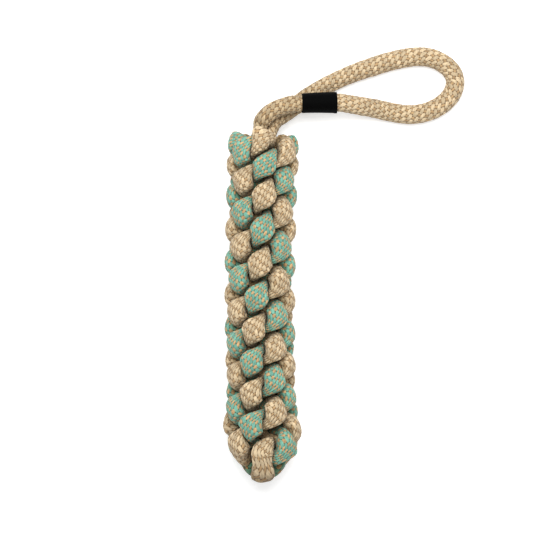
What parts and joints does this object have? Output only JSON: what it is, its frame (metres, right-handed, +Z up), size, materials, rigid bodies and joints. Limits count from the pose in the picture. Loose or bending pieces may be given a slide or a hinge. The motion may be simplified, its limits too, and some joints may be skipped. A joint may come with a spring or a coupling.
{
  "type": "rope dog toy",
  "caption": "Chew and tug stick plaited from tan and teal braided rope as a round crown sinnet, with a tan rope hand loop and a bare black label",
  "frame": {"origin": "on the surface that the toy lies on, under the middle of its box", "axes": "+Y along the stick towards the crown end with the hand loop, +X towards the side that the loop lies on, +Z up from the surface"},
  "size_m": [0.1563, 0.2803, 0.0452],
  "materials": {
    "tan_rope": "braided cotton rope, undyed tan with darker flecks",
    "teal_rope": "braided cotton rope, teal with light orange flecks",
    "label": "woven ribbon, black, bare",
    "thread": "black sewing thread"
  },
  "bodies": {
    "stick": {"strand_tan_front": "tan_rope", "strand_tan_back": "tan_rope", "strand_teal_right": "teal_rope", "strand_teal_left": "teal_rope", "teal_fold": "teal_rope"},
    "neck": {"neck_leg_front": "tan_rope", "neck_leg_rear": "tan_rope", "label_band": "label", "label_thread": "thread"},
    "loop": {"handle_loop": "tan_rope"}
  },
  "joints": [
    {"name": "neck_swing", "type": "hinge", "parent": "stick", "child": "neck", "pos_m": [-0.0519, 0.0882, 0.022], "axis": [0, 0, 1], "range_deg": [-20, 150], "deforming": ["neck_leg_front", "neck_leg_rear"]},
    {"name": "loop_lift", "type": "hinge", "parent": "neck", "child": "loop", "pos_m": [0.0176, 0.114, 0.007], "axis": [0, -1, 0], "range_deg": [0, 90], "deforming": ["neck_leg_front", "neck_leg_rear"]}
  ]
}
